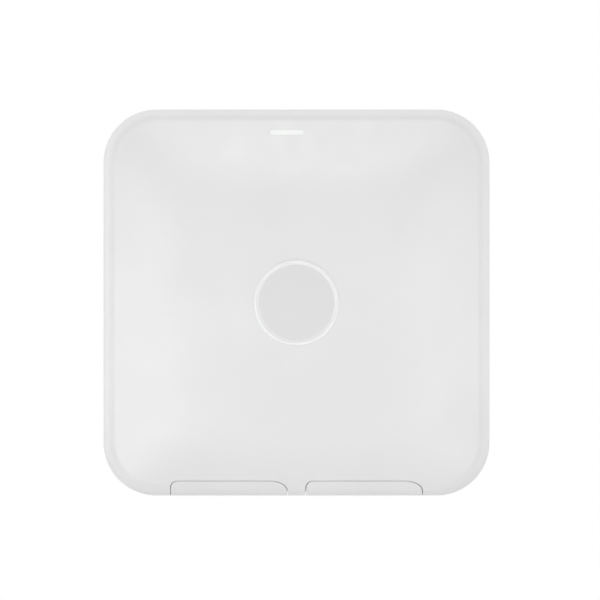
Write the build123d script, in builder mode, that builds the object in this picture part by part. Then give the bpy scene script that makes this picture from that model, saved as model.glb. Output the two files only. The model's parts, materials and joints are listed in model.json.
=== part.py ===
from build123d import *
import os
from math import sqrt

# Square wall and ceiling wireless access point on its steel mounting bracket, in millimetres.
#
# Frame: the mounting surface is the plane Y = 0 and the unit stands out of it towards -Y.
# +Z is up as the unit hangs on a wall, and the two port doors are in its lower edge.
# The origin is the centre of the bracket's mounting face. A "level" is a distance from that
# face towards the front of the unit.

# ---------------------------------------------------------------- driving dimensions
SIDE = 200.0                  # outline of the front cover, square
DEPTH = 39.0                  # mounting face to the top of the crowned cover
HALF = SIDE / 2
CORNER_RADIUS = 27.5
WALL = 2.2                    # plastic wall of the cover and the doors
FIT_GAP = 0.4                 # between the cover and what stands inside it

# the crown: almost flat in the middle, then sloping evenly towards a rounded rim
SLOPE = 0.24                  # fall per millimetre outside the shoulder
SHOULDER = 64.0               # half the side of the rounded square where the slope begins
SHOULDER_SOFTNESS = 14.0
CONTOUR_POWER = 8             # exponent of the superellipse that the crown's contours follow
CROWN_STEPS = 36
RIM_RADIUS = 8.0

# levels, from the mounting face towards the front
PLATE_FRONT = 1.5             # bracket sheet
BACK_LEVEL = 4.5              # rear face of the rear housing
FLOOR_LEVEL = 7.0             # inner face of the rear housing's floor, and the cover's rear edge
RIB_TOP = 14.0                # rear housing's perimeter wall
BOARD_REAR = 12.0
BOARD_FRONT = 13.6
REFLECTOR_REAR = 27.5
REFLECTOR_FRONT = 28.3

# port doors in the lower edge
DOOR_INNER_X = 4.65           # half the mullion between the doors
DOOR_OUTER_X = 65.3
DOOR_TOP_Z = -92.1
DOOR_GAP = 0.35               # at the ends of a door
DOOR_TOP_GAP = 0.2
DOOR_CORNER = 3.6             # left corner of each door
DOOR_SWEEP_X = 9.0            # the right corner is a longer, elliptical sweep
DOOR_SWEEP_Z = 5.2
KNUCKLE_RADIUS = 2.6
HINGE_Z = -HALF + KNUCKLE_RADIUS
HINGE_LEVEL = FLOOR_LEVEL + KNUCKLE_RADIUS
HINGE_PIN_RADIUS = 0.9
RUNNING_GAP = 0.05
HINGE_BOSS_LENGTH = 4.5
PIN_ENGAGEMENT = 4.0

# port bay in the rear housing, behind the doors
BAY_HALF = 72.0
BAY_WALL = 1.8
BAY_FACE_Z = -58.0            # wall that the sockets look out of
BAY_CEILING = 28.0
SOCKET_SINK = 0.4
SOCKET_Z = BAY_FACE_Z + SOCKET_SINK   # mouths of the sockets, just inside the wall's face

# badge, status window
BADGE_RADIUS = 22.0
BADGE_SEAT = 1.4
WINDOW_X, WINDOW_Z = -4.9, 87.8
WINDOW_LENGTH, WINDOW_WIDTH = 17.6, 2.6

# bracket and its hooks
PLATE_X, PLATE_Z = 120.0, 96.0
HOOKS = [(-45.0, -38.0), (45.0, -38.0), (-45.0, 26.0), (45.0, 26.0)]
HOOK_WIDTH = 8.0
HOOK_STEM = 2.0
HOOK_REACH = 10.0
LIFT = 10.5                   # travel of the unit on the hooks
HOOK_LEVEL = 7.5              # rear face of the hook's foot
HOOK_TOP = 9.0
LATCH_PIVOT_Z, LATCH_PIVOT_LEVEL = -10.0, 2.9
LATCH_PIN_RADIUS = 0.8

# fasteners
CASE_SCREWS = [(-82.0, -82.0), (82.0, -82.0), (-82.0, 82.0), (82.0, 82.0)]
CASE_SCREW_RADIUS = 1.25
BOARD_SCREWS = [(x, z) for x in (-66.0, 66.0) for z in (-48.0, 20.0, 84.0)]
BOARD_SCREW_RADIUS = 1.0

# sockets, by the middle of each along X
JACKS_X = (-46.0, -24.0)
JACK_WIDTH, JACK_HEIGHT, JACK_LENGTH = 16.0, 12.0, 21.5
POWER_X, POWER_WIDTH, POWER_HEIGHT, POWER_LENGTH = 22.0, 9.0, 11.0, 14.0
RESET_X, RESET_LEVEL, RESET_TRAVEL = 40.0, 17.0, 0.8
USB_X, USB_WIDTH, USB_HEIGHT, USB_LENGTH = 56.0, 14.5, 7.0, 14.0

# antennas, by the middle of each
ANTENNAS = [(-50.0, 56.0), (50.0, 56.0), (-50.0, -16.0), (50.0, -16.0)]
AERIAL_CONNECTORS = [(-26.0, 63.0), (26.0, 63.0), (-26.0, 17.0), (26.0, 17.0)]


# ---------------------------------------------------------------- helpers
def front(level):
    """The plane parallel to the mounting face at that level: sketch X is X and sketch Y is Z."""
    return Plane.XZ.offset(level)


def down(z):
    """The plane at height z that faces -Z, as the sockets do: sketch X is X and sketch Y is the level."""
    return Plane(origin=(0, 0, z), x_dir=(1, 0, 0), z_dir=(0, 0, -1))


def place(x, z, level):
    """A point in the frame."""
    return (x, -level, z)


def save(piece, name):
    """Labels a finished piece and writes its STEP file."""
    piece.part.label = name
    export_step(piece.part, f"parts/{name}.step")


def crown_level(x, z):
    """Level of the cover's outer surface over a place, without the rounding of the rim."""
    contour = (abs(x) ** CONTOUR_POWER + abs(z) ** CONTOUR_POWER) ** (1 / CONTOUR_POWER)
    past = contour - SHOULDER
    return DEPTH - SLOPE * (past + sqrt(past**2 + SHOULDER_SOFTNESS**2)) / 2


def crowned_block(inset, rear):
    """A block that fills the cover's outline, everywhere `inset` inside its outer surface."""
    reach = HALF + RIM_RADIUS
    places = [reach * (2 * step / CROWN_STEPS - 1) for step in range(CROWN_STEPS + 1)]
    grid = [[place(x, z, crown_level(x, z) - inset) for z in places] for x in places]
    crown = Face.make_surface_from_array_of_points(grid, tol=0.005, min_deg=3, max_deg=5)
    with BuildPart() as block:
        with BuildSketch(front(rear)):
            RectangleRounded(2 * (HALF - inset), 2 * (HALF - inset), CORNER_RADIUS - inset)
        extrude(amount=DEPTH)
        extrude(crown, amount=2 * DEPTH, dir=(0, -1, 0), mode=Mode.SUBTRACT)
        rim = block.faces().sort_by(Axis.Y)[0].edges()
        fillet(rim, RIM_RADIUS - inset)
    return block.part


def door_outline(left, right, gap, top_gap):
    """One door as seen from the front, running past the lower edge of the cover."""
    low = -HALF - WALL
    top = DOOR_TOP_Z - top_gap
    left = left + gap
    right = right - gap
    sweep_x = right - DOOR_SWEEP_X
    with BuildSketch() as outline:
        with BuildLine():
            Line((left, low), (left, top - DOOR_CORNER))
            CenterArc((left + DOOR_CORNER, top - DOOR_CORNER), DOOR_CORNER, 180, -90)
            Line((left + DOOR_CORNER, top), (sweep_x, top))
            EllipticalCenterArc((sweep_x, top - DOOR_SWEEP_Z), DOOR_SWEEP_X, DOOR_SWEEP_Z, 0, arc_size=90)
            Line((right, top - DOOR_SWEEP_Z), (right, low))
            Line((right, low), (left, low))
        make_face()
    return outline.sketch


os.makedirs("parts", exist_ok=True)

outer_block = crowned_block(0, FLOOR_LEVEL)
inner_block = crowned_block(WALL, FLOOR_LEVEL)
inside_block = crowned_block(WALL + FIT_GAP, BACK_LEVEL)
DOORS = {
    "port_door_left": (-DOOR_OUTER_X, -DOOR_INNER_X),
    "port_door_right": (DOOR_INNER_X, DOOR_OUTER_X),
}

# ---------------------------------------------------------------- front cover
BOSS_RADIUS = 3.6
BOSS_REAR = FLOOR_LEVEL + FIT_GAP
BOSS_TOP = 31.0               # inside the crown's wall at the corner bosses
PILOT_DEPTH = 10.0
SEAT_PAD = 1.6                # thickening behind the badge
HINGE_BLOCK_Z = (-98.5, -94.0)
STAKE_RADIUS = 2.0
SEAT_CLEARANCE = 0.04         # around the badge and the light pipe
FLANGE_REACH = 2.8            # how far the rests behind the doors reach past the door openings' sides
FLANGE_Z = (-97.4, -94.0)
FLANGE_LEVELS = (13.5, 27.0)
LEDGE_Z = (-94.2, -90.2)      # rest behind the top edges of the doors
LEDGE_RIB_Z = -91.6
LEDGE_REAR = 25.5


def door_rests():
    """What the doors close against: a ledge behind their top edges and flanges behind their ends."""
    width = 2 * (DOOR_OUTER_X + FLANGE_REACH)
    with BuildPart() as rests:
        with BuildSketch(front(LEDGE_REAR)):
            with Locations((0, sum(LEDGE_Z) / 2)):
                Rectangle(width, LEDGE_Z[1] - LEDGE_Z[0])
        extrude(amount=DEPTH - LEDGE_REAR)
        with BuildSketch(front(FLANGE_LEVELS[0])):
            for x in (-DOOR_OUTER_X, 0, DOOR_OUTER_X):
                half_width = FLANGE_REACH + (DOOR_INNER_X if x == 0 else 0)
                with Locations((x, sum(FLANGE_Z) / 2)):
                    Rectangle(2 * half_width, FLANGE_Z[1] - FLANGE_Z[0])
        extrude(amount=FLANGE_LEVELS[1] - FLANGE_LEVELS[0])
        add(inside_block, mode=Mode.INTERSECT)
    with BuildPart() as rib:
        with BuildSketch(front(LEDGE_REAR)):
            with Locations((0, LEDGE_RIB_Z)):
                Rectangle(width, LEDGE_Z[1] - LEDGE_RIB_Z, align=(Align.CENTER, Align.MIN))
        extrude(amount=DEPTH - LEDGE_REAR)
        add(inner_block, mode=Mode.INTERSECT)
    return rests.part + rib.part


with BuildPart() as front_cover:
    add(outer_block)
    add(inner_block, mode=Mode.SUBTRACT)
    with BuildSketch(front(BOSS_REAR)):
        with Locations(*CASE_SCREWS):
            Circle(BOSS_RADIUS)
    extrude(amount=BOSS_TOP - BOSS_REAR)
    with BuildSketch(front(BOSS_REAR)):
        with Locations(*CASE_SCREWS):
            Circle(CASE_SCREW_RADIUS)
    extrude(amount=PILOT_DEPTH, mode=Mode.SUBTRACT)
    with BuildSketch(front(DEPTH - WALL - SEAT_PAD)):
        Circle(BADGE_RADIUS + WALL)
    extrude(amount=WALL)
    with BuildSketch(front(DEPTH)):
        Circle(BADGE_RADIUS + SEAT_CLEARANCE)
    extrude(amount=-BADGE_SEAT, mode=Mode.SUBTRACT)
    with BuildSketch(front(DEPTH)):
        with PolarLocations(BADGE_RADIUS - 2 * WALL, 3, start_angle=90):
            Circle(STAKE_RADIUS)
    extrude(amount=-2 * WALL, mode=Mode.SUBTRACT)
    for left, right in DOORS.values():
        with BuildSketch(front(0)):
            add(door_outline(left, right, 0, 0))
        extrude(amount=DEPTH, mode=Mode.SUBTRACT)
    # blocks that hold the hinge pins, and then the posts that the flanges grow from
    end_x = DOOR_OUTER_X + HINGE_BOSS_LENGTH / 2
    pin_top = FLOOR_LEVEL + 2 * KNUCKLE_RADIUS
    for low, high in ((FLOOR_LEVEL, pin_top), (pin_top, FLANGE_LEVELS[1])):
        with BuildSketch(front(low)):
            for x, width in ((-end_x, HINGE_BOSS_LENGTH), (end_x, HINGE_BOSS_LENGTH), (0, 2 * DOOR_INNER_X)):
                with Locations((x, sum(HINGE_BLOCK_Z) / 2)):
                    Rectangle(width, HINGE_BLOCK_Z[1] - HINGE_BLOCK_Z[0])
        extrude(amount=high - low)
    add(door_rests())
    for left, right in DOORS.values():
        with BuildSketch(Plane.YZ.offset(left - PIN_ENGAGEMENT)):
            with Locations((-HINGE_LEVEL, HINGE_Z)):
                Circle(HINGE_PIN_RADIUS)
        extrude(amount=right - left + 2 * PIN_ENGAGEMENT, mode=Mode.SUBTRACT)
    with BuildSketch(front(0)):
        with Locations((WINDOW_X, WINDOW_Z)):
            SlotOverall(WINDOW_LENGTH + 2 * SEAT_CLEARANCE, WINDOW_WIDTH + 2 * SEAT_CLEARANCE)
    extrude(amount=DEPTH, mode=Mode.SUBTRACT)
save(front_cover, "front_cover")

# ---------------------------------------------------------------- badge and status window
EDGE_HEIGHT = 0.1             # badge edge above the crown
RIM_HEIGHT = 0.55             # top of the badge's rim above the crown
RIM_WIDTH = 2.0
FIELD_SINK = 0.35             # badge field below the crown at its edge
FIELD_SLOPE = 0.06            # of the field at its edge
DISH = 0.3                    # further sink at the middle of the field
STAKE_PLAY = 0.1

with BuildPart() as badge:
    with BuildSketch(Plane.YZ):
        with BuildLine():
            seat = (-DEPTH + BADGE_SEAT, 0)
            edge = (-DEPTH + BADGE_SEAT, BADGE_RADIUS)
            shoulder = (-DEPTH - EDGE_HEIGHT, BADGE_RADIUS)
            rim = (-DEPTH - RIM_HEIGHT, BADGE_RADIUS - RIM_WIDTH / 2)
            lip = (-DEPTH + FIELD_SINK, BADGE_RADIUS - RIM_WIDTH)
            middle = (-DEPTH + FIELD_SINK + DISH, 0)
            Polyline(middle, seat, edge, shoulder)
            ThreePointArc(shoulder, rim, lip)
            Spline(lip, middle, tangents=((FIELD_SLOPE, -1), (0, -1)))
        make_face()
    revolve(axis=Axis.Y)
    with BuildSketch(front(DEPTH - BADGE_SEAT)):
        with PolarLocations(BADGE_RADIUS - 2 * WALL, 3, start_angle=90):
            Circle(STAKE_RADIUS - STAKE_PLAY)
    extrude(amount=-2 * WALL)
save(badge, "badge")

PIPE_GAP = 1.6                # from the board to the light pipe
PIPE_REAR = BOARD_FRONT + PIPE_GAP
with BuildPart() as light_pipe:
    with BuildSketch(front(PIPE_REAR)):
        with Locations((WINDOW_X, WINDOW_Z)):
            SlotOverall(WINDOW_LENGTH, WINDOW_WIDTH)
    extrude(amount=DEPTH - PIPE_REAR)
    add(outer_block, mode=Mode.INTERSECT)
save(light_pipe, "light_pipe")

# ---------------------------------------------------------------- port doors and their pins
for name, (left, right) in DOORS.items():
    with BuildPart() as door:
        with BuildSketch(front(HINGE_LEVEL)):
            add(door_outline(left, right, DOOR_GAP, DOOR_TOP_GAP))
        extrude(amount=DEPTH - HINGE_LEVEL)
        add(outer_block, mode=Mode.INTERSECT)
        add(inner_block, mode=Mode.SUBTRACT)
        with BuildSketch(Plane.YZ.offset(left + DOOR_GAP)):
            with Locations((-HINGE_LEVEL, HINGE_Z)):
                Circle(KNUCKLE_RADIUS)
        extrude(amount=right - left - 2 * DOOR_GAP)
        with BuildSketch(Plane.YZ.offset(left)):
            with Locations((-HINGE_LEVEL, HINGE_Z)):
                Circle(HINGE_PIN_RADIUS + RUNNING_GAP)
        extrude(amount=right - left, mode=Mode.SUBTRACT)
    save(door, name)

    with BuildPart() as hinge_pin:
        with BuildSketch(Plane.YZ.offset(left - PIN_ENGAGEMENT)):
            with Locations((-HINGE_LEVEL, HINGE_Z)):
                Circle(HINGE_PIN_RADIUS)
        extrude(amount=right - left + 2 * PIN_ENGAGEMENT)
    save(hinge_pin, name.replace("port_door", "door_hinge_pin"))

# ---------------------------------------------------------------- rear housing
BASE_HALF = HALF - WALL - FIT_GAP
BASE_CORNER = CORNER_RADIUS - WALL - FIT_GAP
POCKET_TOP = 11.0
POCKET_WALL = 1.5
POCKET_ROOF = 1.0
POCKET_ROOM = 1.5             # round a hook over the whole travel
SLOT_ROOM = 0.5
HOOK_PLAY = 0.1               # above the hooks as the unit hangs on them
SCREW_HOLE_RADIUS = 1.7
SCREW_HEAD_RADIUS = 2.8
SCREW_SEAT_RADIUS = 3.2
SCREW_SEAT_DEPTH = 1.4
STANDOFF_RADIUS = 3.0
LATCH_POCKET_Z = (9.2, 27.5)
LATCH_POCKET_DEPTH = 1.7
LATCH_POCKET_WIDTH = 17.0
VENT_X, VENT_LENGTH, VENT_WIDTH = 82.0, 18.0, 2.4
VENT_COUNT, VENT_PITCH, LOWEST_VENT_Z = 12, 9.0, -36.0
VENT_ROWS = [LOWEST_VENT_Z + VENT_PITCH * row for row in range(VENT_COUNT)]
LABEL_Z = 70.0
LABEL_X_SIZE, LABEL_Z_SIZE = 72.0, 26.0
LABEL_CORNER = 2.0
LABEL_SINK = 0.3
LABEL_THICKNESS = 0.2
LABEL_ROOM = 0.5
SOCKET_ROOM = 0.2             # round each socket in the bay's wall
RESET_HOLE_RADIUS = 1.9

with BuildPart() as rear_housing:
    with BuildSketch(front(BACK_LEVEL)):
        RectangleRounded(2 * BASE_HALF, 2 * BASE_HALF, BASE_CORNER)
    extrude(amount=FLOOR_LEVEL - BACK_LEVEL)
    with BuildSketch(front(FLOOR_LEVEL)):
        RectangleRounded(2 * BASE_HALF, 2 * BASE_HALF, BASE_CORNER)
        RectangleRounded(
            2 * (BASE_HALF - BAY_WALL), 2 * (BASE_HALF - BAY_WALL), BASE_CORNER - BAY_WALL, mode=Mode.SUBTRACT
        )
    extrude(amount=RIB_TOP - FLOOR_LEVEL)
    # the bay's box, first as a block and then hollowed from the rear
    with BuildSketch(front(BACK_LEVEL)):
        with Locations((0, (BAY_FACE_Z + BAY_WALL - HALF) / 2)):
            Rectangle(2 * (BAY_HALF + BAY_WALL), HALF + BAY_FACE_Z + BAY_WALL)
    extrude(amount=BAY_CEILING + BAY_WALL - BACK_LEVEL)
    with BuildSketch(front(BACK_LEVEL)):
        with Locations((0, (BAY_FACE_Z - HALF - WALL) / 2)):
            Rectangle(2 * BAY_HALF, HALF + WALL + BAY_FACE_Z)
    extrude(amount=BAY_CEILING - BACK_LEVEL, mode=Mode.SUBTRACT)
    # the bay's ceiling stops short of the ledge behind the doors
    with BuildSketch(front(LEDGE_REAR - FIT_GAP)):
        with Locations((0, LEDGE_Z[1] + FIT_GAP)):
            Rectangle(2 * BAY_HALF, HALF, align=(Align.CENTER, Align.MAX))
    extrude(amount=DEPTH, mode=Mode.SUBTRACT)
    # pockets that the bracket's hooks run in
    for x, z in HOOKS:
        with BuildSketch(front(FLOOR_LEVEL)):
            with Locations((x, z)):
                Rectangle(
                    HOOK_WIDTH + 2 * (POCKET_ROOM + POCKET_WALL), 2 * (LIFT + POCKET_ROOM + POCKET_WALL)
                )
        extrude(amount=POCKET_TOP - FLOOR_LEVEL)
    for x, z in HOOKS:
        with BuildSketch(front(FLOOR_LEVEL)):
            with Locations((x, z)):
                Rectangle(HOOK_WIDTH + 2 * POCKET_ROOM, 2 * (LIFT + POCKET_ROOM))
        extrude(amount=POCKET_TOP - POCKET_ROOF - FLOOR_LEVEL, mode=Mode.SUBTRACT)
        with BuildSketch(front(BACK_LEVEL)):
            with Locations((x, z + HOOK_STEM + HOOK_PLAY)):
                Rectangle(
                    HOOK_WIDTH + 2 * SLOT_ROOM, LIFT + HOOK_STEM + SLOT_ROOM, align=(Align.CENTER, Align.MAX)
                )
        extrude(amount=FLOOR_LEVEL - BACK_LEVEL, mode=Mode.SUBTRACT)
    with BuildSketch(front(FLOOR_LEVEL)):
        with Locations(*BOARD_SCREWS):
            Circle(STANDOFF_RADIUS)
    extrude(amount=BOARD_REAR - FLOOR_LEVEL)
    with BuildSketch(front(BOARD_REAR)):
        with Locations(*BOARD_SCREWS):
            Circle(BOARD_SCREW_RADIUS)
    extrude(amount=FLOOR_LEVEL - BOARD_REAR, mode=Mode.SUBTRACT)
    with BuildSketch(front(BACK_LEVEL)):
        with Locations(*CASE_SCREWS):
            Circle(SCREW_SEAT_RADIUS)
    extrude(amount=SCREW_SEAT_DEPTH, mode=Mode.SUBTRACT)
    with BuildSketch(front(BACK_LEVEL)):
        with Locations(*CASE_SCREWS):
            Circle(SCREW_HOLE_RADIUS)
        for side in (-1, 1):
            with Locations(*[(side * VENT_X, z) for z in VENT_ROWS]):
                SlotOverall(VENT_LENGTH, VENT_WIDTH)
    extrude(amount=FLOOR_LEVEL - BACK_LEVEL, mode=Mode.SUBTRACT)
    with BuildSketch(front(BACK_LEVEL)):
        with Locations((0, sum(LATCH_POCKET_Z) / 2)):
            Rectangle(LATCH_POCKET_WIDTH, LATCH_POCKET_Z[1] - LATCH_POCKET_Z[0])
    extrude(amount=LATCH_POCKET_DEPTH, mode=Mode.SUBTRACT)
    with BuildSketch(front(BACK_LEVEL)):
        with Locations((0, LABEL_Z)):
            RectangleRounded(LABEL_X_SIZE + 2 * LABEL_ROOM, LABEL_Z_SIZE + 2 * LABEL_ROOM, LABEL_CORNER)
    extrude(amount=LABEL_SINK, mode=Mode.SUBTRACT)
    # mouths of the sockets and of the reset button in the bay's wall
    with BuildSketch(down(BAY_FACE_Z + BAY_WALL)):
        for x in JACKS_X:
            with Locations((x, BOARD_FRONT + JACK_HEIGHT / 2)):
                Rectangle(JACK_WIDTH + 2 * SOCKET_ROOM, JACK_HEIGHT + 2 * SOCKET_ROOM)
        with Locations((POWER_X, BOARD_FRONT + POWER_HEIGHT / 2)):
            Rectangle(POWER_WIDTH + 2 * SOCKET_ROOM, POWER_HEIGHT + 2 * SOCKET_ROOM)
        with Locations((USB_X, BOARD_FRONT + USB_HEIGHT / 2)):
            Rectangle(USB_WIDTH + 2 * SOCKET_ROOM, USB_HEIGHT + 2 * SOCKET_ROOM)
        with Locations((RESET_X, RESET_LEVEL)):
            Circle(RESET_HOLE_RADIUS)
    extrude(amount=BAY_WALL, mode=Mode.SUBTRACT)
    add(inside_block, mode=Mode.INTERSECT)
save(rear_housing, "rear_housing")

with BuildPart() as rating_label:
    with BuildSketch(front(BACK_LEVEL + LABEL_SINK - LABEL_THICKNESS)):
        with Locations((0, LABEL_Z)):
            RectangleRounded(LABEL_X_SIZE, LABEL_Z_SIZE, LABEL_CORNER)
    extrude(amount=LABEL_THICKNESS)
save(rating_label, "rating_label")

# ---------------------------------------------------------------- mounting bracket and latch
SCREW_SQUARE = 60.0           # wall screws
GANG_SPACING = 83.3           # single-gang box screws
PLATE_HOLE_RADIUS = 2.3
PLATE_CORNER = 9.0
LATCH_WINDOW_WIDTH = 14.8
LATCH_WINDOW_CORNER = 1.5
FOOT_CORNER = 2.5
LATCH_WINDOW_Z = (-12.5, 33.0)
LATCH_WINDOW_LENGTH = LATCH_WINDOW_Z[1] - LATCH_WINDOW_Z[0]
EAR_X = 8.2
EAR_THICKNESS = 1.2
EAR_HEIGHT = 4.0
EAR_TOP = 4.3
LIP_THICKNESS = 1.5
LIP_TOP = 3.8                 # folded edge of the plate

with BuildPart() as mounting_bracket:
    with BuildSketch(front(0)):
        RectangleRounded(PLATE_X, PLATE_Z, PLATE_CORNER)
        with GridLocations(SCREW_SQUARE, SCREW_SQUARE, 2, 2):
            Circle(PLATE_HOLE_RADIUS, mode=Mode.SUBTRACT)
        with GridLocations(0, GANG_SPACING, 1, 2):
            Circle(PLATE_HOLE_RADIUS, mode=Mode.SUBTRACT)
        with Locations((0, sum(LATCH_WINDOW_Z) / 2)):
            RectangleRounded(
                LATCH_WINDOW_WIDTH, LATCH_WINDOW_LENGTH, LATCH_WINDOW_CORNER, mode=Mode.SUBTRACT
            )
    extrude(amount=PLATE_FRONT)
    with BuildSketch(front(PLATE_FRONT)):
        RectangleRounded(PLATE_X, PLATE_Z, PLATE_CORNER)
        RectangleRounded(
            PLATE_X - 2 * LIP_THICKNESS,
            PLATE_Z - 2 * LIP_THICKNESS,
            PLATE_CORNER - LIP_THICKNESS,
            mode=Mode.SUBTRACT,
        )
    extrude(amount=LIP_TOP - PLATE_FRONT)
    for x, z in HOOKS:
        with BuildSketch(front(PLATE_FRONT)):
            with Locations((x, z)):
                Rectangle(HOOK_WIDTH, HOOK_STEM, align=(Align.CENTER, Align.MIN))
        extrude(amount=HOOK_TOP - PLATE_FRONT)
        with BuildSketch(front(HOOK_LEVEL)):
            with Locations((x, z)):
                Rectangle(HOOK_WIDTH, HOOK_REACH, align=(Align.CENTER, Align.MIN))
        extrude(amount=HOOK_TOP - HOOK_LEVEL)
    tip_heights = {z + HOOK_REACH for x, z in HOOKS}
    foot_edges = mounting_bracket.edges().filter_by(Axis.Y).filter_by(lambda e: e.center().Y < -HOOK_LEVEL)
    fillet(foot_edges.filter_by(lambda e: round(e.center().Z, 3) in tip_heights), FOOT_CORNER)
    with BuildSketch(front(PLATE_FRONT)):
        with Locations((-EAR_X, LATCH_PIVOT_Z), (EAR_X, LATCH_PIVOT_Z)):
            Rectangle(EAR_THICKNESS, EAR_HEIGHT)
    extrude(amount=EAR_TOP - PLATE_FRONT)
    with BuildSketch(Plane.YZ.offset(-EAR_X - EAR_THICKNESS)):
        with Locations((-LATCH_PIVOT_LEVEL, LATCH_PIVOT_Z)):
            Circle(LATCH_PIN_RADIUS)
    extrude(amount=2 * (EAR_X + EAR_THICKNESS), mode=Mode.SUBTRACT)
save(mounting_bracket, "mounting_bracket")

with BuildPart() as latch_pin:
    with BuildSketch(Plane.YZ.offset(-EAR_X - EAR_THICKNESS)):
        with Locations((-LATCH_PIVOT_LEVEL, LATCH_PIVOT_Z)):
            Circle(LATCH_PIN_RADIUS)
    extrude(amount=2 * (EAR_X + EAR_THICKNESS))
save(latch_pin, "latch_pin")

LATCH_WIDTH = 14.0
LATCH_BARREL = 1.35
LATCH_REAR, LATCH_FACE = 2.3, 3.1
RAMP_FOOT_Z, RAMP_TOP_Z, RAMP_LEVEL = 1.7, 22.0, 6.0
LATCH_END_Z = 30.0
RAMP_CREST = 2.0              # flat top of the ramp
RAMP_DROP = 2.5               # back down to the lever, beyond it

with BuildPart() as latch_lever:
    with BuildSketch(Plane.YZ.offset(-LATCH_WIDTH / 2)):
        with BuildLine():
            Polyline(
                (-LATCH_REAR, LATCH_PIVOT_Z),
                (-LATCH_REAR, LATCH_END_Z),
                (-LATCH_FACE, LATCH_END_Z),
                (-LATCH_FACE, RAMP_TOP_Z + RAMP_CREST + RAMP_DROP),
                (-RAMP_LEVEL, RAMP_TOP_Z + RAMP_CREST),
                (-RAMP_LEVEL, RAMP_TOP_Z),
                (-LATCH_FACE, RAMP_FOOT_Z),
                (-LATCH_FACE, LATCH_PIVOT_Z),
                close=True,
            )
        make_face()
        with Locations((-LATCH_PIVOT_LEVEL, LATCH_PIVOT_Z)):
            Circle(LATCH_BARREL)
            Circle(LATCH_PIN_RADIUS + RUNNING_GAP, mode=Mode.SUBTRACT)
    extrude(amount=LATCH_WIDTH)
save(latch_lever, "latch_lever")

# ---------------------------------------------------------------- case screws
DRIVE_RADIUS = 1.3
DRIVE_DEPTH = 0.8
HEAD_SINK = 0.1
CASE_THREAD = 9.0
with BuildPart() as case_screws:
    with BuildSketch(front(BACK_LEVEL + HEAD_SINK)):
        with Locations(*CASE_SCREWS):
            Circle(SCREW_HEAD_RADIUS)
    extrude(amount=SCREW_SEAT_DEPTH - HEAD_SINK)
    with BuildSketch(front(BACK_LEVEL + SCREW_SEAT_DEPTH)):
        with Locations(*CASE_SCREWS):
            Circle(CASE_SCREW_RADIUS)
    extrude(amount=CASE_THREAD)
    with BuildSketch(front(BACK_LEVEL + HEAD_SINK)):
        with Locations(*CASE_SCREWS):
            RegularPolygon(DRIVE_RADIUS, 6)
    extrude(amount=DRIVE_DEPTH, mode=Mode.SUBTRACT)
save(case_screws, "case_screws")

# ---------------------------------------------------------------- main board and what it carries
BOARD_HALF_X = 74.0
BOARD_CORNER = 3.0
BOARD_HOLE_ROOM = 0.3
BOARD_SCREW_FOOT = 0.5        # from the housing's floor to the screw's end
BOARD_HEAD_RADIUS, BOARD_HEAD_HEIGHT = 2.3, 1.5
BOARD_DRIVE_RADIUS, BOARD_DRIVE_DEPTH = 1.0, 0.9
BOARD_Z = (BAY_FACE_Z + BAY_WALL + FIT_GAP, 91.0)

with BuildPart() as main_board:
    with BuildSketch(front(BOARD_REAR)):
        with Locations((0, sum(BOARD_Z) / 2)):
            RectangleRounded(2 * BOARD_HALF_X, BOARD_Z[1] - BOARD_Z[0], BOARD_CORNER)
        with Locations(*BOARD_SCREWS):
            Circle(BOARD_SCREW_RADIUS + BOARD_HOLE_ROOM, mode=Mode.SUBTRACT)
    extrude(amount=BOARD_FRONT - BOARD_REAR)
save(main_board, "main_board")

with BuildPart() as board_screws:
    with BuildSketch(front(FLOOR_LEVEL + BOARD_SCREW_FOOT)):
        with Locations(*BOARD_SCREWS):
            Circle(BOARD_SCREW_RADIUS)
    extrude(amount=BOARD_FRONT - FLOOR_LEVEL - BOARD_SCREW_FOOT)
    with BuildSketch(front(BOARD_FRONT)):
        with Locations(*BOARD_SCREWS):
            Circle(BOARD_HEAD_RADIUS)
    extrude(amount=BOARD_HEAD_HEIGHT)
    with BuildSketch(front(BOARD_FRONT + BOARD_HEAD_HEIGHT)):
        with Locations(*BOARD_SCREWS):
            RegularPolygon(BOARD_DRIVE_RADIUS, 6)
    extrude(amount=-BOARD_DRIVE_DEPTH, mode=Mode.SUBTRACT)
save(board_screws, "board_screws")

SHIELDS = {
    "radio_shield_left": (-30.0, 40.0, 36.0, 36.0),
    "radio_shield_right": (30.0, 40.0, 36.0, 36.0),
    "processor_shield": (0.0, -4.0, 40.0, 34.0),
}
SHIELD_HEIGHT = 3.4
SHIELD_SHEET = 0.3
SHIELD_CORNER = 1.0
for name, (x, z, width, height) in SHIELDS.items():
    with BuildPart() as shield:
        with BuildSketch(front(BOARD_FRONT)):
            with Locations((x, z)):
                RectangleRounded(width, height, SHIELD_CORNER)
        extrude(amount=SHIELD_HEIGHT)
        with BuildSketch(front(BOARD_FRONT)):
            with Locations((x, z)):
                RectangleRounded(
                    width - 2 * SHIELD_SHEET, height - 2 * SHIELD_SHEET, SHIELD_CORNER - SHIELD_SHEET
                )
        extrude(amount=SHIELD_HEIGHT - SHIELD_SHEET, mode=Mode.SUBTRACT)
    save(shield, name)

SPREADER_X, SPREADER_Z = 56.0, 70.0
SPREADER_MIDDLE_Z = 22.0
SPREADER_CORNER = 3.0
PADS = [(-14.0, 40.0), (14.0, 40.0), (0.0, 2.0)]   # under the two radios and the processor
PAD_SIDE, PAD_THICKNESS = 22.0, 1.0

with BuildPart() as heat_spreader:
    with BuildSketch(front(FLOOR_LEVEL)):
        with Locations((0, SPREADER_MIDDLE_Z)):
            RectangleRounded(SPREADER_X, SPREADER_Z, SPREADER_CORNER)
    extrude(amount=BOARD_REAR - PAD_THICKNESS - FLOOR_LEVEL)
save(heat_spreader, "heat_spreader")

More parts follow.
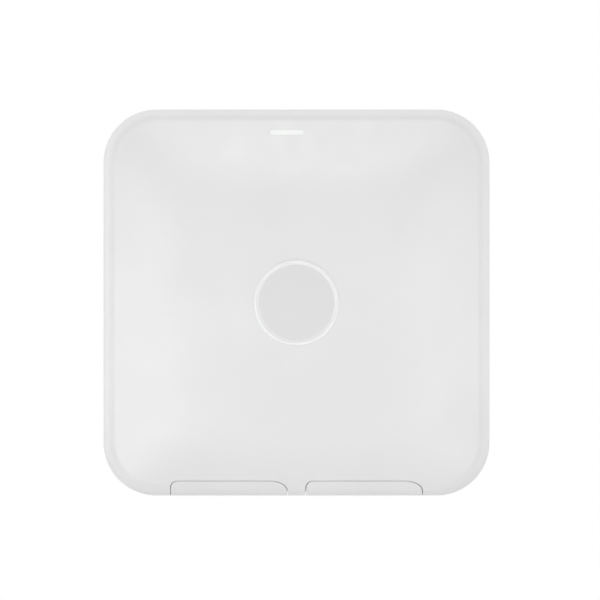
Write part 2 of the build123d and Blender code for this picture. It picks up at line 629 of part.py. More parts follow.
with BuildPart() as thermal_pads:
    with BuildSketch(front(BOARD_REAR - PAD_THICKNESS)):
        with Locations(*PADS):
            Rectangle(PAD_SIDE, PAD_SIDE)
    extrude(amount=PAD_THICKNESS)
save(thermal_pads, "thermal_pads")

TRANSFORMERS = [(-44.0, -26.0), (-28.0, -26.0)]
TRANSFORMER_SIZE = (13.0, 12.0, 5.5)
with BuildPart() as ethernet_transformers:
    with BuildSketch(front(BOARD_FRONT)):
        with Locations(*TRANSFORMERS):
            Rectangle(TRANSFORMER_SIZE[0], TRANSFORMER_SIZE[1])
    extrude(amount=TRANSFORMER_SIZE[2])
save(ethernet_transformers, "ethernet_transformers")

INDUCTORS = [(24.0, -30.0), (33.0, -30.0)]
INDUCTOR_SIDE, INDUCTOR_CORNER, INDUCTOR_HEIGHT = 7.0, 1.2, 4.2
with BuildPart() as power_inductors:
    with BuildSketch(front(BOARD_FRONT)):
        with Locations(*INDUCTORS):
            RectangleRounded(INDUCTOR_SIDE, INDUCTOR_SIDE, INDUCTOR_CORNER)
    extrude(amount=INDUCTOR_HEIGHT)
save(power_inductors, "power_inductors")

CAPACITORS = [(44.0, -34.0), (54.0, -34.0)]
CAPACITOR_RADIUS, CAPACITOR_HEIGHT, CAPACITOR_ROUND = 4.0, 9.0, 0.6
with BuildPart() as bulk_capacitors:
    with BuildSketch(front(BOARD_FRONT)):
        with Locations(*CAPACITORS):
            Circle(CAPACITOR_RADIUS)
    extrude(amount=CAPACITOR_HEIGHT)
    fillet(bulk_capacitors.edges().group_by(Axis.Y)[0], CAPACITOR_ROUND)
save(bulk_capacitors, "bulk_capacitors")

MEMORY = [(32.0, -8.0), (32.0, 4.0)]
MEMORY_SIZE = (9.0, 8.0, 1.1)
with BuildPart() as memory_chips:
    with BuildSketch(front(BOARD_FRONT)):
        with Locations(*MEMORY):
            Rectangle(MEMORY_SIZE[0], MEMORY_SIZE[1])
    extrude(amount=MEMORY_SIZE[2])
save(memory_chips, "memory_chips")

LED_COUNT, LED_PITCH = 3, 5.0
LED_SIZE = (2.0, 1.3, 0.8)
with BuildPart() as status_leds:
    with BuildSketch(front(BOARD_FRONT)):
        with Locations((WINDOW_X, WINDOW_Z)):
            with GridLocations(LED_PITCH, 0, LED_COUNT, 1):
                Rectangle(LED_SIZE[0], LED_SIZE[1])
    extrude(amount=LED_SIZE[2])
save(status_leds, "status_leds")

# ---------------------------------------------------------------- network sockets
JACK_SHEET = 0.4
SOCKET_WIDTH, SOCKET_HEIGHT, SOCKET_DEPTH = 11.9, 7.0, 13.0
SOCKET_LEVEL = BOARD_FRONT + 3.6          # lower side of the plug's space
KEY_WIDTH, KEY_HEIGHT = 6.4, 1.9
CONTACT_COUNT, CONTACT_PITCH = 8, 1.02
CONTACT_WIDTH, CONTACT_HEIGHT = 0.45, 1.0
CONTACT_START = 3.0           # behind the socket's mouth
INSERT_SINK = 0.3

for name, x in zip(("ethernet_jack_left", "ethernet_jack_right"), JACKS_X):
    with BuildPart() as jack_shell:
        with BuildSketch(down(SOCKET_Z)):
            with Locations((x, BOARD_FRONT + JACK_HEIGHT / 2)):
                Rectangle(JACK_WIDTH, JACK_HEIGHT)
        extrude(amount=-JACK_LENGTH)
        with BuildSketch(down(SOCKET_Z)):
            with Locations((x, BOARD_FRONT + JACK_HEIGHT / 2)):
                Rectangle(JACK_WIDTH - 2 * JACK_SHEET, JACK_HEIGHT - 2 * JACK_SHEET)
        extrude(amount=-(JACK_LENGTH - JACK_SHEET), mode=Mode.SUBTRACT)
    save(jack_shell, name)

with BuildPart() as jack_inserts:
    for x in JACKS_X:
        with BuildSketch(down(SOCKET_Z + INSERT_SINK)):
            with Locations((x, BOARD_FRONT + JACK_HEIGHT / 2)):
                Rectangle(JACK_WIDTH - 2 * JACK_SHEET, JACK_HEIGHT - 2 * JACK_SHEET)
        extrude(amount=-(JACK_LENGTH - JACK_SHEET - INSERT_SINK))
    for x in JACKS_X:
        with BuildSketch(down(SOCKET_Z + INSERT_SINK)):
            with Locations((x, SOCKET_LEVEL)):
                Rectangle(SOCKET_WIDTH, SOCKET_HEIGHT, align=(Align.CENTER, Align.MIN))
                Rectangle(KEY_WIDTH, KEY_HEIGHT, align=(Align.CENTER, Align.MAX))
        extrude(amount=-SOCKET_DEPTH, mode=Mode.SUBTRACT)
save(jack_inserts, "jack_inserts")

with BuildPart() as jack_contacts:
    with BuildSketch(down(SOCKET_Z + CONTACT_START)):
        for x in JACKS_X:
            with Locations((x, SOCKET_LEVEL + SOCKET_HEIGHT)):
                with GridLocations(CONTACT_PITCH, 0, CONTACT_COUNT, 1):
                    Rectangle(CONTACT_WIDTH, CONTACT_HEIGHT, align=(Align.CENTER, Align.MAX))
    extrude(amount=-(SOCKET_DEPTH - CONTACT_START))
save(jack_contacts, "jack_contacts")

# ---------------------------------------------------------------- power inlet and service port
POWER_LEVEL = BOARD_FRONT + 6.2
POWER_CORNER = 1.0
POWER_MOUTH_RADIUS, POWER_MOUTH_DEPTH = 3.1, 10.0
POWER_PIN_RADIUS, POWER_PIN_SINK, POWER_PIN_ROUND = 1.05, 1.0, 0.5
with BuildPart() as power_inlet:
    with BuildSketch(down(SOCKET_Z)):
        with Locations((POWER_X, BOARD_FRONT + POWER_HEIGHT / 2)):
            RectangleRounded(POWER_WIDTH, POWER_HEIGHT, POWER_CORNER)
    extrude(amount=-POWER_LENGTH)
    with BuildSketch(down(SOCKET_Z)):
        with Locations((POWER_X, POWER_LEVEL)):
            Circle(POWER_MOUTH_RADIUS)
    extrude(amount=-POWER_MOUTH_DEPTH, mode=Mode.SUBTRACT)
save(power_inlet, "power_inlet")

with BuildPart() as power_inlet_pin:
    with BuildSketch(down(SOCKET_Z + POWER_PIN_SINK)):
        with Locations((POWER_X, POWER_LEVEL)):
            Circle(POWER_PIN_RADIUS)
    extrude(amount=-(POWER_MOUTH_DEPTH - POWER_PIN_SINK))
    fillet(power_inlet_pin.edges().group_by(Axis.Z)[0], POWER_PIN_ROUND)
save(power_inlet_pin, "power_inlet_pin")

USB_SHEET = 0.4
USB_CORNER = 0.8
USB_BACK = 2.0
TONGUE_WIDTH, TONGUE_HEIGHT = 11.1, 1.7
TONGUE_SINK, TONGUE_GAP = 1.5, 0.2
with BuildPart() as usb_shell:
    with BuildSketch(down(SOCKET_Z)):
        with Locations((USB_X, BOARD_FRONT + USB_HEIGHT / 2)):
            RectangleRounded(USB_WIDTH, USB_HEIGHT, USB_CORNER)
    extrude(amount=-USB_LENGTH)
    with BuildSketch(down(SOCKET_Z)):
        with Locations((USB_X, BOARD_FRONT + USB_HEIGHT / 2)):
            RectangleRounded(USB_WIDTH - 2 * USB_SHEET, USB_HEIGHT - 2 * USB_SHEET, USB_CORNER - USB_SHEET)
    extrude(amount=-(USB_LENGTH - USB_BACK), mode=Mode.SUBTRACT)
save(usb_shell, "usb_shell")

with BuildPart() as usb_tongue:
    with BuildSketch(down(SOCKET_Z + TONGUE_SINK)):
        with Locations((USB_X, BOARD_FRONT + USB_HEIGHT - USB_SHEET - TONGUE_GAP)):
            Rectangle(TONGUE_WIDTH, TONGUE_HEIGHT, align=(Align.CENTER, Align.MAX))
    extrude(amount=-(USB_LENGTH - USB_BACK - TONGUE_SINK))
save(usb_tongue, "usb_tongue")

# ---------------------------------------------------------------- reset button
BUTTON_RADIUS, BUTTON_PROUD, BUTTON_ROUND = 1.7, 0.6, 0.4
COLLAR_RADIUS, COLLAR_THICKNESS, COLLAR_GAP = 2.6, 1.0, 0.1
STEM_RADIUS = 1.0
STEM_END_Z = BAY_FACE_Z + 7.0
BUTTON_END_Z = BAY_FACE_Z + 4.0
SWITCH_Z = -52.0              # lower face of the switch
SWITCH_SIDE, SWITCH_LENGTH = 6.2, 5.0
SWITCH_HOLE_DEPTH, SWITCH_HOLE_ROOM = 3.0, 0.1
with BuildPart() as reset_button:
    with BuildSketch(down(BAY_FACE_Z - BUTTON_PROUD)):
        with Locations((RESET_X, RESET_LEVEL)):
            Circle(BUTTON_RADIUS)
    extrude(amount=-(BUTTON_END_Z - BAY_FACE_Z + BUTTON_PROUD))
    with BuildSketch(down(BAY_FACE_Z + BAY_WALL + COLLAR_GAP)):
        with Locations((RESET_X, RESET_LEVEL)):
            Circle(COLLAR_RADIUS)
    extrude(amount=-COLLAR_THICKNESS)
    with BuildSketch(down(BUTTON_END_Z)):
        with Locations((RESET_X, RESET_LEVEL)):
            Circle(STEM_RADIUS)
    extrude(amount=-(STEM_END_Z - BUTTON_END_Z))
    fillet(reset_button.edges().group_by(Axis.Z)[0], BUTTON_ROUND)
save(reset_button, "reset_button")

with BuildPart() as reset_switch:
    with BuildSketch(down(SWITCH_Z)):
        with Locations((RESET_X, BOARD_FRONT + SWITCH_SIDE / 2)):
            Rectangle(SWITCH_SIDE, SWITCH_SIDE)
    extrude(amount=-SWITCH_LENGTH)
    with BuildSketch(down(SWITCH_Z)):
        with Locations((RESET_X, RESET_LEVEL)):
            Circle(STEM_RADIUS + SWITCH_HOLE_ROOM)
    extrude(amount=-SWITCH_HOLE_DEPTH, mode=Mode.SUBTRACT)
save(reset_switch, "reset_switch")

# ---------------------------------------------------------------- reflector, antennas and their leads
SPACERS = [(x, z) for x in (-62.0, 62.0) for z in (-28.0, 66.0)]
LEAD_RADIUS = 0.6
LEAD_LEVEL = 21.0
LEAD_BEND = 3.5
REFLECTOR_Z = (-50.0, 84.0)
LEAD_X = 14.0                 # feed point of an antenna, from its middle towards X = 0
LEAD_HOLE_ROOM = 0.3
LEAD_ABOVE_REFLECTOR = 2.0
CONNECTOR_RADIUS, CONNECTOR_HEIGHT = 1.4, 1.2
REFLECTOR_X, REFLECTOR_CORNER = 144.0, 10.0
SPACER_RADIUS, RIVET_RADIUS, RIVET_HEIGHT = 2.6, 1.3, 2.0
BEACON_PLACE, BEACON_SIZE = (44.0, 84.0), (12.0, 4.0, 1.6)

with BuildPart() as antenna_reflector:
    with BuildSketch(front(REFLECTOR_REAR)):
        with Locations((0, sum(REFLECTOR_Z) / 2)):
            RectangleRounded(REFLECTOR_X, REFLECTOR_Z[1] - REFLECTOR_Z[0], REFLECTOR_CORNER)
        with Locations(*SPACERS):
            Circle(RIVET_RADIUS, mode=Mode.SUBTRACT)
        for x, z in ANTENNAS:
            with Locations((x - LEAD_X if x > 0 else x + LEAD_X, z)):
                Circle(LEAD_RADIUS + LEAD_HOLE_ROOM, mode=Mode.SUBTRACT)
    extrude(amount=REFLECTOR_FRONT - REFLECTOR_REAR)
save(antenna_reflector, "antenna_reflector")

with BuildPart() as reflector_spacers:
    with BuildSketch(front(BOARD_FRONT)):
        with Locations(*SPACERS):
            RegularPolygon(SPACER_RADIUS, 6)
    extrude(amount=REFLECTOR_REAR - BOARD_FRONT)
    with BuildSketch(front(REFLECTOR_REAR)):
        with Locations(*SPACERS):
            Circle(RIVET_RADIUS)
    extrude(amount=RIVET_HEIGHT)
save(reflector_spacers, "reflector_spacers")

PATCH_LENGTH, PATCH_WIDTH, PATCH_SHEET = 26.0, 16.0, 0.5
PATCH_SLIT = 1.5
FEED_TAB = 3.0
PATCH_LEVEL = 32.5
for number, ((x, z), (socket_x, socket_z)) in enumerate(zip(ANTENNAS, AERIAL_CONNECTORS), 1):
    inward = -1 if x > 0 else 1
    outer_end = x - inward * PATCH_LENGTH / 2
    feed_x = x + inward * LEAD_X
    with BuildPart() as antenna:
        with BuildSketch(front(PATCH_LEVEL)):
            with Locations((x, z)):
                Rectangle(PATCH_LENGTH, PATCH_WIDTH)
                Rectangle(PATCH_LENGTH / 2, PATCH_SLIT, mode=Mode.SUBTRACT)
        extrude(amount=PATCH_SHEET)
        with BuildSketch(front(REFLECTOR_FRONT)):
            with Locations((outer_end + inward * PATCH_SHEET / 2, z)):
                Rectangle(PATCH_SHEET, PATCH_WIDTH)
            with Locations((x + inward * (PATCH_LENGTH - PATCH_SHEET) / 2, z)):
                Rectangle(PATCH_SHEET, FEED_TAB)
        extrude(amount=PATCH_LEVEL - REFLECTOR_FRONT)
    save(antenna, f"antenna_{number}")

    with BuildPart() as antenna_lead:
        with BuildLine() as route:
            FilletPolyline(
                place(feed_x, z, REFLECTOR_FRONT + LEAD_ABOVE_REFLECTOR),
                place(feed_x, z, LEAD_LEVEL),
                place(socket_x, socket_z, LEAD_LEVEL),
                place(socket_x, socket_z, BOARD_FRONT + CONNECTOR_HEIGHT),
                radius=LEAD_BEND,
            )
        with BuildSketch(Plane(origin=route.line @ 0, z_dir=route.line % 0)):
            Circle(LEAD_RADIUS)
        sweep()
    save(antenna_lead, f"antenna_lead_{number}")

with BuildPart() as lead_connectors:
    with BuildSketch(front(BOARD_FRONT)):
        with Locations(*AERIAL_CONNECTORS):
            Circle(CONNECTOR_RADIUS)
    extrude(amount=CONNECTOR_HEIGHT)
save(lead_connectors, "lead_connectors")

with BuildPart() as beacon_antenna:
    with BuildSketch(front(BOARD_FRONT)):
        with Locations(BEACON_PLACE):
            Rectangle(BEACON_SIZE[0], BEACON_SIZE[1])
    extrude(amount=BEACON_SIZE[2])
save(beacon_antenna, "beacon_antenna")
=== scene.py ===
"""Looks of the square wireless access point: materials, board detail, studio and camera."""

import json
import math
import random

import bmesh
import bpy
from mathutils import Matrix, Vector


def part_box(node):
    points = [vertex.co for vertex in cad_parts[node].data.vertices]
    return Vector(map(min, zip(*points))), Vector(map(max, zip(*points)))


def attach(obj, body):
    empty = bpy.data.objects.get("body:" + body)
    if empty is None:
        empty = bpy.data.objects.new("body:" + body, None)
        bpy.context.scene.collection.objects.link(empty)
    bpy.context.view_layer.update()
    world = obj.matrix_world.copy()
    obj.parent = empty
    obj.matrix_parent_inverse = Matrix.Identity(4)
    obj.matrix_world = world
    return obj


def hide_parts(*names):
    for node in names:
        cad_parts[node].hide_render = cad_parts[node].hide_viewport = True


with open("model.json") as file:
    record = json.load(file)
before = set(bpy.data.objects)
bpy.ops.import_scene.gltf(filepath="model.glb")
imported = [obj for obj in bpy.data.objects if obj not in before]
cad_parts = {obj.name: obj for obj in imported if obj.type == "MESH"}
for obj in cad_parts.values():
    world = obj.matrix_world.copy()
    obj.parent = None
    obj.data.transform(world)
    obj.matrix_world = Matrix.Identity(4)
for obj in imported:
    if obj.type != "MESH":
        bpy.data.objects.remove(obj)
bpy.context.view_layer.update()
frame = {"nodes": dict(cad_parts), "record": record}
nodes = frame["nodes"]

MM = 0.001
cover_low, cover_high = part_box("front_cover")
side = cover_high.x - cover_low.x
middle = (cover_low + cover_high) / 2


# ---------------------------------------------------------------- material building blocks
class Surface:
    """One node material around a Principled shader, on the object's own coordinates."""

    def __init__(self, name, roughness, metallic=0.0):
        self.material = bpy.data.materials.new(name)
        self.material.use_nodes = True
        self.tree = self.material.node_tree
        self.shader = self.tree.nodes["Principled BSDF"]
        self.shader.inputs["Roughness"].default_value = roughness
        self.shader.inputs["Metallic"].default_value = metallic
        self.coordinates = self.add("ShaderNodeTexCoord").outputs["Object"]
        self.height = None

    def add(self, kind, **settings):
        """A new node, with its plain settings."""
        node = self.tree.nodes.new(kind)
        for key, value in settings.items():
            setattr(node, key, value)
        return node

    def link(self, source, target):
        self.tree.links.new(source, target)

    def stretched(self, x, y, z):
        """The object's coordinates, scaled unevenly."""
        mapping = self.add("ShaderNodeMapping")
        mapping.inputs["Scale"].default_value = (x, y, z)
        self.link(self.coordinates, mapping.inputs["Vector"])
        return mapping.outputs["Vector"]

    def noise(self, size, detail=3.0, where=None):
        """Noise whose blotches are about `size` metres across."""
        node = self.add("ShaderNodeTexNoise")
        node.inputs["Scale"].default_value = 1 / size
        node.inputs["Detail"].default_value = detail
        self.link(where or self.coordinates, node.inputs["Vector"])
        return node.outputs["Fac"]

    def cells(self, size):
        """Small irregular cells, as on spark-eroded moulds."""
        node = self.add("ShaderNodeTexVoronoi")
        node.inputs["Scale"].default_value = 1 / size
        self.link(self.coordinates, node.inputs["Vector"])
        return node.outputs["Distance"]

    def tint(self, value, stops):
        """Base colour from a value through colour stops [(place, grey or colour), ...]."""
        ramp = self.add("ShaderNodeValToRGB")
        elements = ramp.color_ramp.elements
        while len(elements) < len(stops):
            elements.new(1.0)
        for element, (place, colour) in zip(elements, stops):
            if isinstance(colour, float):
                colour = (colour, colour, colour)
            element.position = place
            element.color = (*colour, 1)
        self.link(value, ramp.inputs["Fac"])
        self.link(ramp.outputs["Color"], self.shader.inputs["Base Color"])

    def vary_roughness(self, value, low, high):
        """Roughness between low and high as the value goes from 0.3 to 0.7."""
        spread = self.add("ShaderNodeMapRange")
        spread.inputs["From Min"].default_value = 0.3
        spread.inputs["From Max"].default_value = 0.7
        spread.inputs["To Min"].default_value = low
        spread.inputs["To Max"].default_value = high
        self.link(value, spread.inputs["Value"])
        self.link(spread.outputs["Result"], self.shader.inputs["Roughness"])

    def bump(self, value, depth):
        """Relief `depth` metres deep, on top of any relief made before."""
        node = self.add("ShaderNodeBump")
        node.inputs["Distance"].default_value = depth
        self.link(value, node.inputs["Height"])
        if self.height:
            self.link(self.height, node.inputs["Normal"])
        self.height = node.outputs["Normal"]
        self.link(self.height, self.shader.inputs["Normal"])


def moulded(name, grey, roughness, grain=0.35 * MM, depth=0.006 * MM, spread=0.012):
    """Injection-moulded plastic with the fine grain of an eroded mould."""
    surface = Surface(name, roughness)
    surface.tint(surface.noise(45 * MM), [(0.3, grey - spread), (0.7, grey + spread)])
    surface.vary_roughness(surface.noise(9 * MM), roughness - 0.04, roughness + 0.04)
    surface.bump(surface.cells(grain), depth)
    surface.bump(surface.noise(70 * MM, detail=1.0), 0.03 * MM)
    return surface


def brushed(name, colour, roughness, across=(1, 1, 40)):
    """Metal with fine parallel drawing marks."""
    surface = Surface(name, roughness, metallic=1.0)
    marks = surface.noise(6 * MM, detail=6.0, where=surface.stretched(*across))
    light = tuple(min(1.0, channel * 1.08) for channel in colour)
    dark = tuple(channel * 0.9 for channel in colour)
    surface.tint(marks, [(0.35, dark), (0.65, light)])
    surface.vary_roughness(marks, roughness - 0.07, roughness + 0.07)
    surface.bump(marks, 0.01 * MM)
    return surface


def spangled(name, colour, roughness, size):
    """Plated sheet, with the faint crystals of its zinc or tin."""
    surface = Surface(name, roughness, metallic=1.0)
    crystals = surface.add("ShaderNodeTexVoronoi")
    crystals.inputs["Scale"].default_value = 1 / size
    surface.link(surface.coordinates, crystals.inputs["Vector"])
    shade = surface.add("ShaderNodeSeparateColor")
    surface.link(crystals.outputs["Color"], shade.inputs["Color"])
    dark = tuple(channel * 0.88 for channel in colour)
    surface.tint(shade.outputs["Red"], [(0.0, dark), (1.0, colour)])
    surface.vary_roughness(surface.noise(4 * MM), roughness - 0.06, roughness + 0.08)
    surface.bump(surface.noise(2 * MM), 0.008 * MM)
    return surface


# ---------------------------------------------------------------- materials
white_plastic = moulded("white_moulded_plastic", 0.72, 0.38)
white_plastic.shader.inputs["IOR"].default_value = 1.6

# the badge: a slightly greyer field inside a rim painted lighter, a painted highlight on the rim
badge_low, badge_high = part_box("badge")
badge_radius = (badge_high.x - badge_low.x) / 2
badge_plastic = moulded("badge_plastic", 0.70, 0.34, grain=0.22 * MM, depth=0.002 * MM)
badge_plastic.shader.inputs["Coat Weight"].default_value = 0.3
badge_plastic.shader.inputs["Coat Roughness"].default_value = 0.25
from_axis = badge_plastic.add("ShaderNodeVectorMath", operation="LENGTH")
badge_plastic.link(badge_plastic.stretched(1 / badge_radius, 0, 1 / badge_radius), from_axis.inputs[0])
# the lighter stop at the outer edge is a painted highlight along the rim
badge_plastic.tint(from_axis.outputs["Value"], [(0.88, 0.68), (0.92, 0.80)])

grey_plastic = moulded("rear_housing_plastic", 0.66, 0.55, grain=0.5 * MM, depth=0.012 * MM)
black_plastic = moulded("socket_plastic", 0.03, 0.45, spread=0.006)
button_plastic = moulded("button_plastic", 0.09, 0.35, spread=0.01)
ferrite = moulded("ferrite", 0.11, 0.7, grain=0.6 * MM, depth=0.03 * MM, spread=0.02)

window_plastic = moulded("light_window_plastic", 0.82, 0.3, grain=0.22 * MM, depth=0.002 * MM)
window_plastic.shader.inputs["Subsurface Weight"].default_value = 0.25
window_plastic.shader.inputs["Subsurface Scale"].default_value = 1.5 * MM

steel = brushed("pin_and_screw_steel", (0.58, 0.58, 0.58), 0.3, across=(30, 1, 1))
aluminium = brushed("rolled_aluminium", (0.74, 0.74, 0.76), 0.34)
brass = brushed("turned_brass", (0.70, 0.54, 0.27), 0.28, across=(1, 30, 1))
gold = brushed("gold_contacts", (0.85, 0.64, 0.28), 0.2)
zinc_steel = spangled("zinc_plated_steel", (0.66, 0.67, 0.69), 0.38, 7 * MM)
tinned_sheet = spangled("tinned_sheet", (0.74, 0.74, 0.72), 0.3, 5 * MM)

led = moulded("status_light_lens", 0.86, 0.2, grain=0.3 * MM)
led.shader.inputs["Emission Color"].default_value = (0.55, 0.8, 1.0, 1)
led.shader.inputs["Emission Strength"].default_value = 0.1

ceramic = Surface("ceramic", 0.4)
ceramic.tint(ceramic.noise(2 * MM), [(0.3, (0.72, 0.72, 0.66)), (0.7, (0.82, 0.82, 0.77))])
ceramic.bump(ceramic.noise(0.4 * MM), 0.01 * MM)

thermal_pad = Surface("thermal_pad", 0.8)
thermal_pad.tint(thermal_pad.noise(3 * MM), [(0.3, (0.38, 0.46, 0.55)), (0.7, (0.46, 0.54, 0.62))])
thermal_pad.bump(thermal_pad.noise(0.8 * MM), 0.05 * MM)

coax_jacket = Surface("coax_jacket", 0.45)
coax_jacket.tint(coax_jacket.noise(6 * MM), [(0.3, 0.035), (0.7, 0.055)])
coax_jacket.bump(coax_jacket.noise(0.5 * MM), 0.008 * MM)

# the board: green resist over copper traces, with the glass weave faintly showing
circuit_board = Surface("circuit_board", 0.32)
traces = circuit_board.add("ShaderNodeTexBrick", offset=0.37, squash=1.4)
traces.inputs["Color1"].default_value = (0.012, 0.10, 0.045, 1)
traces.inputs["Color2"].default_value = (0.018, 0.13, 0.06, 1)
traces.inputs["Mortar"].default_value = (0.03, 0.20, 0.10, 1)
traces.inputs["Scale"].default_value = 1 / (9 * MM)
traces.inputs["Mortar Size"].default_value = 0.02
turned = circuit_board.add("ShaderNodeMapping")
turned.inputs["Rotation"].default_value = (math.pi / 2, 0, 0)
circuit_board.link(circuit_board.coordinates, turned.inputs["Vector"])
circuit_board.link(turned.outputs["Vector"], traces.inputs["Vector"])
circuit_board.link(traces.outputs["Color"], circuit_board.shader.inputs["Base Color"])
circuit_board.bump(traces.outputs["Fac"], 0.02 * MM)
circuit_board.bump(circuit_board.noise(0.6 * MM, where=circuit_board.stretched(1, 1, 3)), 0.006 * MM)

# the label: blank matt film
label = Surface("blank_label", 0.5)
label.tint(label.noise(20 * MM), [(0.3, 0.62), (0.7, 0.66)])
label.bump(label.noise(1.2 * MM), 0.004 * MM)

FINISHES = {
    "white_plastic": white_plastic,
    "badge_plastic": badge_plastic,
    "clear_plastic": window_plastic,
    "grey_plastic": grey_plastic,
    "black_plastic": black_plastic,
    "button_plastic": button_plastic,
    "label": label,
    "steel": steel,
    "zinc_steel": zinc_steel,
    "tinned_sheet": tinned_sheet,
    "aluminium": aluminium,
    "brass": brass,
    "gold_contact": gold,
    "circuit_board": circuit_board,
    "thermal_pad": thermal_pad,
    "ferrite": ferrite,
    "led": led,
    "ceramic": ceramic,
    "coax_jacket": coax_jacket,
}
for entry in frame["record"]["subparts"]:
    finish = FINISHES[entry["material_slot"]].material
    for material_slot in nodes[entry["node"]].material_slots:
        material_slot.material = finish

# ---------------------------------------------------------------- small parts on the board
board_low, board_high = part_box("main_board")
board_face = board_low.y
GRID = 2.5 * MM               # the small parts stand on this grid
BOARD_EDGE = 4 * MM           # kept free along the board's edges


def chip(mesh, x, z, width, length, height):
    """A small chip standing on the board, with a bevelled top."""
    made = bmesh.ops.create_cube(mesh, size=1.0)["verts"]
    for vert in made:
        vert.co = Vector((
            x + vert.co.x * width,
            board_face - height * (0.5 - vert.co.y),
            z + vert.co.z * length,
        ))
    edges = {edge for vert in made for edge in vert.link_edges}
    bmesh.ops.bevel(mesh, geom=list(edges), offset=0.12 * height, segments=2, affect="EDGES")


def keep_out(name, margin=1.0 * MM):
    """The strip of the board that a part covers: lowest and highest X, lowest and highest Z."""
    low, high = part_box(name)
    return low.x - margin, high.x + margin, low.z - margin, high.z + margin


def scatter(name, count, width, length, height, surface, seed):
    """Chips of one kind in the free places of the board."""
    picker = random.Random(seed)
    mesh = bmesh.new()
    placed = 0
    while placed < count:
        x = round(picker.uniform(board_low.x, board_high.x) / GRID) * GRID
        z = round(picker.uniform(board_low.z, board_high.z) / GRID) * GRID
        inside_x = abs(x) < board_high.x - BOARD_EDGE
        inside_z = board_low.z + BOARD_EDGE < z < board_high.z - BOARD_EDGE
        clear = all(not (a < x < b and c < z < d) for a, b, c, d in taken)
        if inside_x and inside_z and clear:
            chip(mesh, x, z, width, length, height)
            taken.append((x - 2 * width, x + 2 * width, z - 1.4 * length, z + 1.4 * length))
            placed += 1
    data = bpy.data.meshes.new(name)
    mesh.to_mesh(data)
    mesh.free()
    data.materials.append(surface.material)
    piece = bpy.data.objects.new(name, data)
    bpy.context.scene.collection.objects.link(piece)
    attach(piece, "unit")


BIG_PARTS = [
    "radio_shield_left", "radio_shield_right", "processor_shield", "ethernet_transformers",
    "power_inductors", "bulk_capacitors", "memory_chips", "status_leds", "ethernet_jack_left",
    "ethernet_jack_right", "power_inlet", "usb_shell", "reset_switch", "beacon_antenna", "light_pipe",
]
POSTS_X = (-66 * MM, -62 * MM, 62 * MM, 66 * MM)    # columns of board screws and reflector spacers
POST_ROOM = 4 * MM
LEADS_X, LEADS_Z = (-26 * MM, 26 * MM), (17 * MM, 63 * MM)
LEAD_ROOM = 3 * MM
taken = [keep_out(name) for name in BIG_PARTS]
for post_x in POSTS_X:
    taken.append((post_x - POST_ROOM, post_x + POST_ROOM, board_low.z, board_high.z))
for lead_x in LEADS_X:
    for lead_z in LEADS_Z:
        taken.append((lead_x - LEAD_ROOM, lead_x + LEAD_ROOM, lead_z - LEAD_ROOM, lead_z + LEAD_ROOM))
scatter("board_capacitors", 70, 0.8 * MM, 1.6 * MM, 0.8 * MM, ceramic, seed=4)
scatter("board_resistors", 60, 1.6 * MM, 0.8 * MM, 0.45 * MM, black_plastic, seed=9)
scatter("board_chips", 9, 4.0 * MM, 4.0 * MM, 0.9 * MM, black_plastic, seed=2)

# ---------------------------------------------------------------- badge
# The badge is turned finely, because its rim is too small for the frame's facets.
RIM_WIDTH = 2.0 * MM
RIM_RISE = 0.45 * MM          # from the badge's edge to the top of its rim
FIELD_FALL = 0.9 * MM         # from the top of the rim to the field's edge
DISH = 0.3 * MM
SEAT = 1.4 * MM
TURNS = 192                   # facets round the badge
RIM_STEPS, FIELD_STEPS = 16, 12
rim_top = badge_low.y
field_radius = badge_radius - RIM_WIDTH


def badge_profile():
    """(radius, Y) from the seated edge over the rim to the middle of the field."""
    profile = [(badge_radius, rim_top + RIM_RISE + SEAT), (badge_radius, rim_top + RIM_RISE)]
    for step in range(1, RIM_STEPS + 1):
        along = step / RIM_STEPS
        radius = badge_radius - RIM_WIDTH * along
        fall = RIM_RISE if along < 0.5 else FIELD_FALL
        profile.append((radius, rim_top + fall * (0.5 + 0.5 * math.cos(2 * math.pi * along))))
    for step in range(1, FIELD_STEPS + 1):
        out = 1 - step / FIELD_STEPS
        profile.append((field_radius * out, rim_top + FIELD_FALL + DISH * (1 - out**2)))
    return profile


turned_mesh = bmesh.new()
rings = []
for radius, y in badge_profile()[:-1]:
    angles = [2 * math.pi * turn / TURNS for turn in range(TURNS)]
    rings.append([turned_mesh.verts.new((radius * math.cos(a), y, radius * math.sin(a))) for a in angles])
centre = turned_mesh.verts.new((0, badge_profile()[-1][1], 0))
for outer, inner in zip(rings, rings[1:]):
    for turn in range(TURNS):
        after = (turn + 1) % TURNS
        turned_mesh.faces.new((outer[turn], outer[after], inner[after], inner[turn]))
for turn in range(TURNS):
    turned_mesh.faces.new((rings[-1][turn], rings[-1][(turn + 1) % TURNS], centre))
turned_mesh.faces.new(rings[0][::-1])
bmesh.ops.recalc_face_normals(turned_mesh, faces=turned_mesh.faces)
for face in turned_mesh.faces:
    face.smooth = len(face.verts) < 5
badge_mesh = bpy.data.meshes.new("badge_disc")
turned_mesh.to_mesh(badge_mesh)
turned_mesh.free()
badge_mesh.materials.append(badge_plastic.material)
badge_disc = bpy.data.objects.new("badge_disc", badge_mesh)
bpy.context.scene.collection.objects.link(badge_disc)
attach(badge_disc, "unit")
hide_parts("badge")

# ---------------------------------------------------------------- studio
FLOOR_DROP = 0.5 * side       # below the lower edge
FLOOR_RADIUS = 1.9 * side
floor_mesh = bpy.data.meshes.new("studio_floor")
sheet = bmesh.new()
bmesh.ops.create_circle(sheet, cap_ends=True, segments=96, radius=FLOOR_RADIUS)
sheet.to_mesh(floor_mesh)
sheet.free()
floor = bpy.data.objects.new("studio_floor", floor_mesh)
floor.location = (0, 0, cover_low.z - FLOOR_DROP)
floor_surface = moulded("studio_floor_paint", 0.8, 0.7, grain=3 * MM, depth=0.02 * MM)
floor_mesh.materials.append(floor_surface.material)
bpy.context.scene.collection.objects.link(floor)

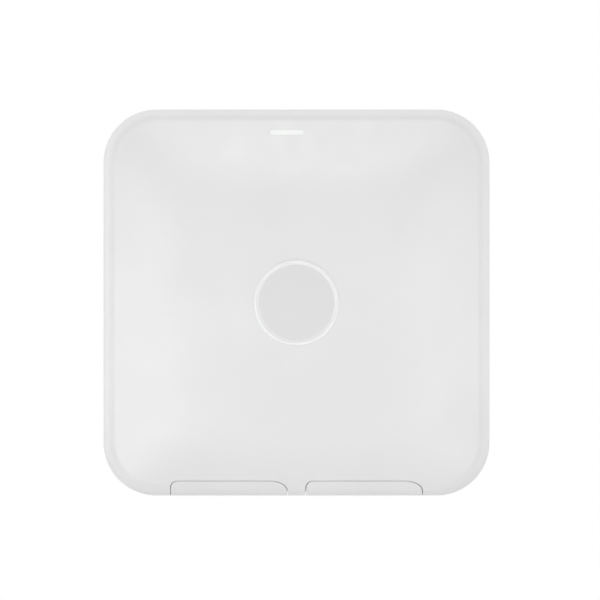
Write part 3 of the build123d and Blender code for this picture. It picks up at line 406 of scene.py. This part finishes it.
# The sky lights the unit from beside and behind, and the camera itself always sees it white.
# Its strength goes by how far a direction faces front: 1 is straight in front, -1 straight behind.
SKY_BEHIND, SKY_BESIDE, SKY_IN_FRONT = 0.9, 1.5, 0.15
world = bpy.data.worlds.new("studio")
world.use_nodes = True
bpy.context.scene.world = world
tree = world.node_tree
direction = tree.nodes.new("ShaderNodeTexCoord").outputs["Generated"]
facing = tree.nodes.new("ShaderNodeVectorMath")
facing.operation = "DOT_PRODUCT"
facing.inputs[1].default_value = (0, -1, 0)


def sky_change(start, end, before, after):
    """Sky strength that goes from before to after as the direction turns from start to end."""
    change = tree.nodes.new("ShaderNodeMapRange")
    change.inputs["From Min"].default_value = start
    change.inputs["From Max"].default_value = end
    change.inputs["To Min"].default_value = before
    change.inputs["To Max"].default_value = after
    tree.links.new(facing.outputs["Value"], change.inputs["Value"])
    return change.outputs["Result"]


sky = tree.nodes.new("ShaderNodeMath")
sky.operation = "MINIMUM"
seen = tree.nodes.new("ShaderNodeMath")
seen.operation = "MAXIMUM"
tree.links.new(direction, facing.inputs[0])
tree.links.new(sky_change(0.2, 0.5, SKY_BESIDE, SKY_IN_FRONT), sky.inputs[0])
tree.links.new(sky_change(-0.7, -0.1, SKY_BEHIND, SKY_BESIDE), sky.inputs[1])
tree.links.new(sky.outputs["Value"], seen.inputs[0])
tree.links.new(tree.nodes.new("ShaderNodeLightPath").outputs["Is Camera Ray"], seen.inputs[1])
tree.links.new(seen.outputs["Value"], tree.nodes["Background"].inputs["Strength"])
tree.nodes["Background"].inputs["Color"].default_value = (1, 1, 1, 1)


LIGHT_DISTANCE = 6 * side
LIGHT_SIZE = 2 * side
OFF_AXIS = 28                 # degrees off the front direction


def softbox(name, turn, power):
    """A square area light in front of the unit, turned round it from +X towards +Z by so many degrees."""
    away = math.radians(OFF_AXIS)
    around = math.radians(turn)
    place = Vector((math.sin(away) * math.cos(around), -math.cos(away), math.sin(away) * math.sin(around)))
    data = bpy.data.lights.new(name, "AREA")
    data.shape = "SQUARE"
    data.size = LIGHT_SIZE
    data.energy = power
    lamp = bpy.data.objects.new(name, data)
    lamp.location = middle + LIGHT_DISTANCE * place
    lamp.rotation_euler = (-place).to_track_quat("-Z", "Y").to_euler()
    lamp.visible_camera = False
    bpy.context.scene.collection.objects.link(lamp)


softbox("left_light", 180, 1.6)
softbox("right_light", 0, 1.15)
softbox("top_light", 90, 2.85)
softbox("low_left_light", 225, 3.3)
softbox("low_right_light", 315, 2.4)

# ---------------------------------------------------------------- camera
FRAME_WIDTH = 1.555 * side    # what the picture spans at the unit
DISTANCE = 12.5 * side
OFFSET_X, OFFSET_Z = 0.009 * side, 0.0065 * side
camera_data = bpy.data.cameras.new("camera")
camera_data.sensor_width = 36.0
camera_data.lens = camera_data.sensor_width * DISTANCE / FRAME_WIDTH
camera_data.clip_end = 100.0
camera = bpy.data.objects.new("camera", camera_data)
camera.location = (middle.x + OFFSET_X, middle.y - DISTANCE, middle.z + OFFSET_Z)
camera.rotation_euler = (math.pi / 2, 0, 0)
bpy.context.scene.collection.objects.link(camera)
bpy.context.scene.camera = camera
bpy.context.scene.view_settings.view_transform = "Standard"
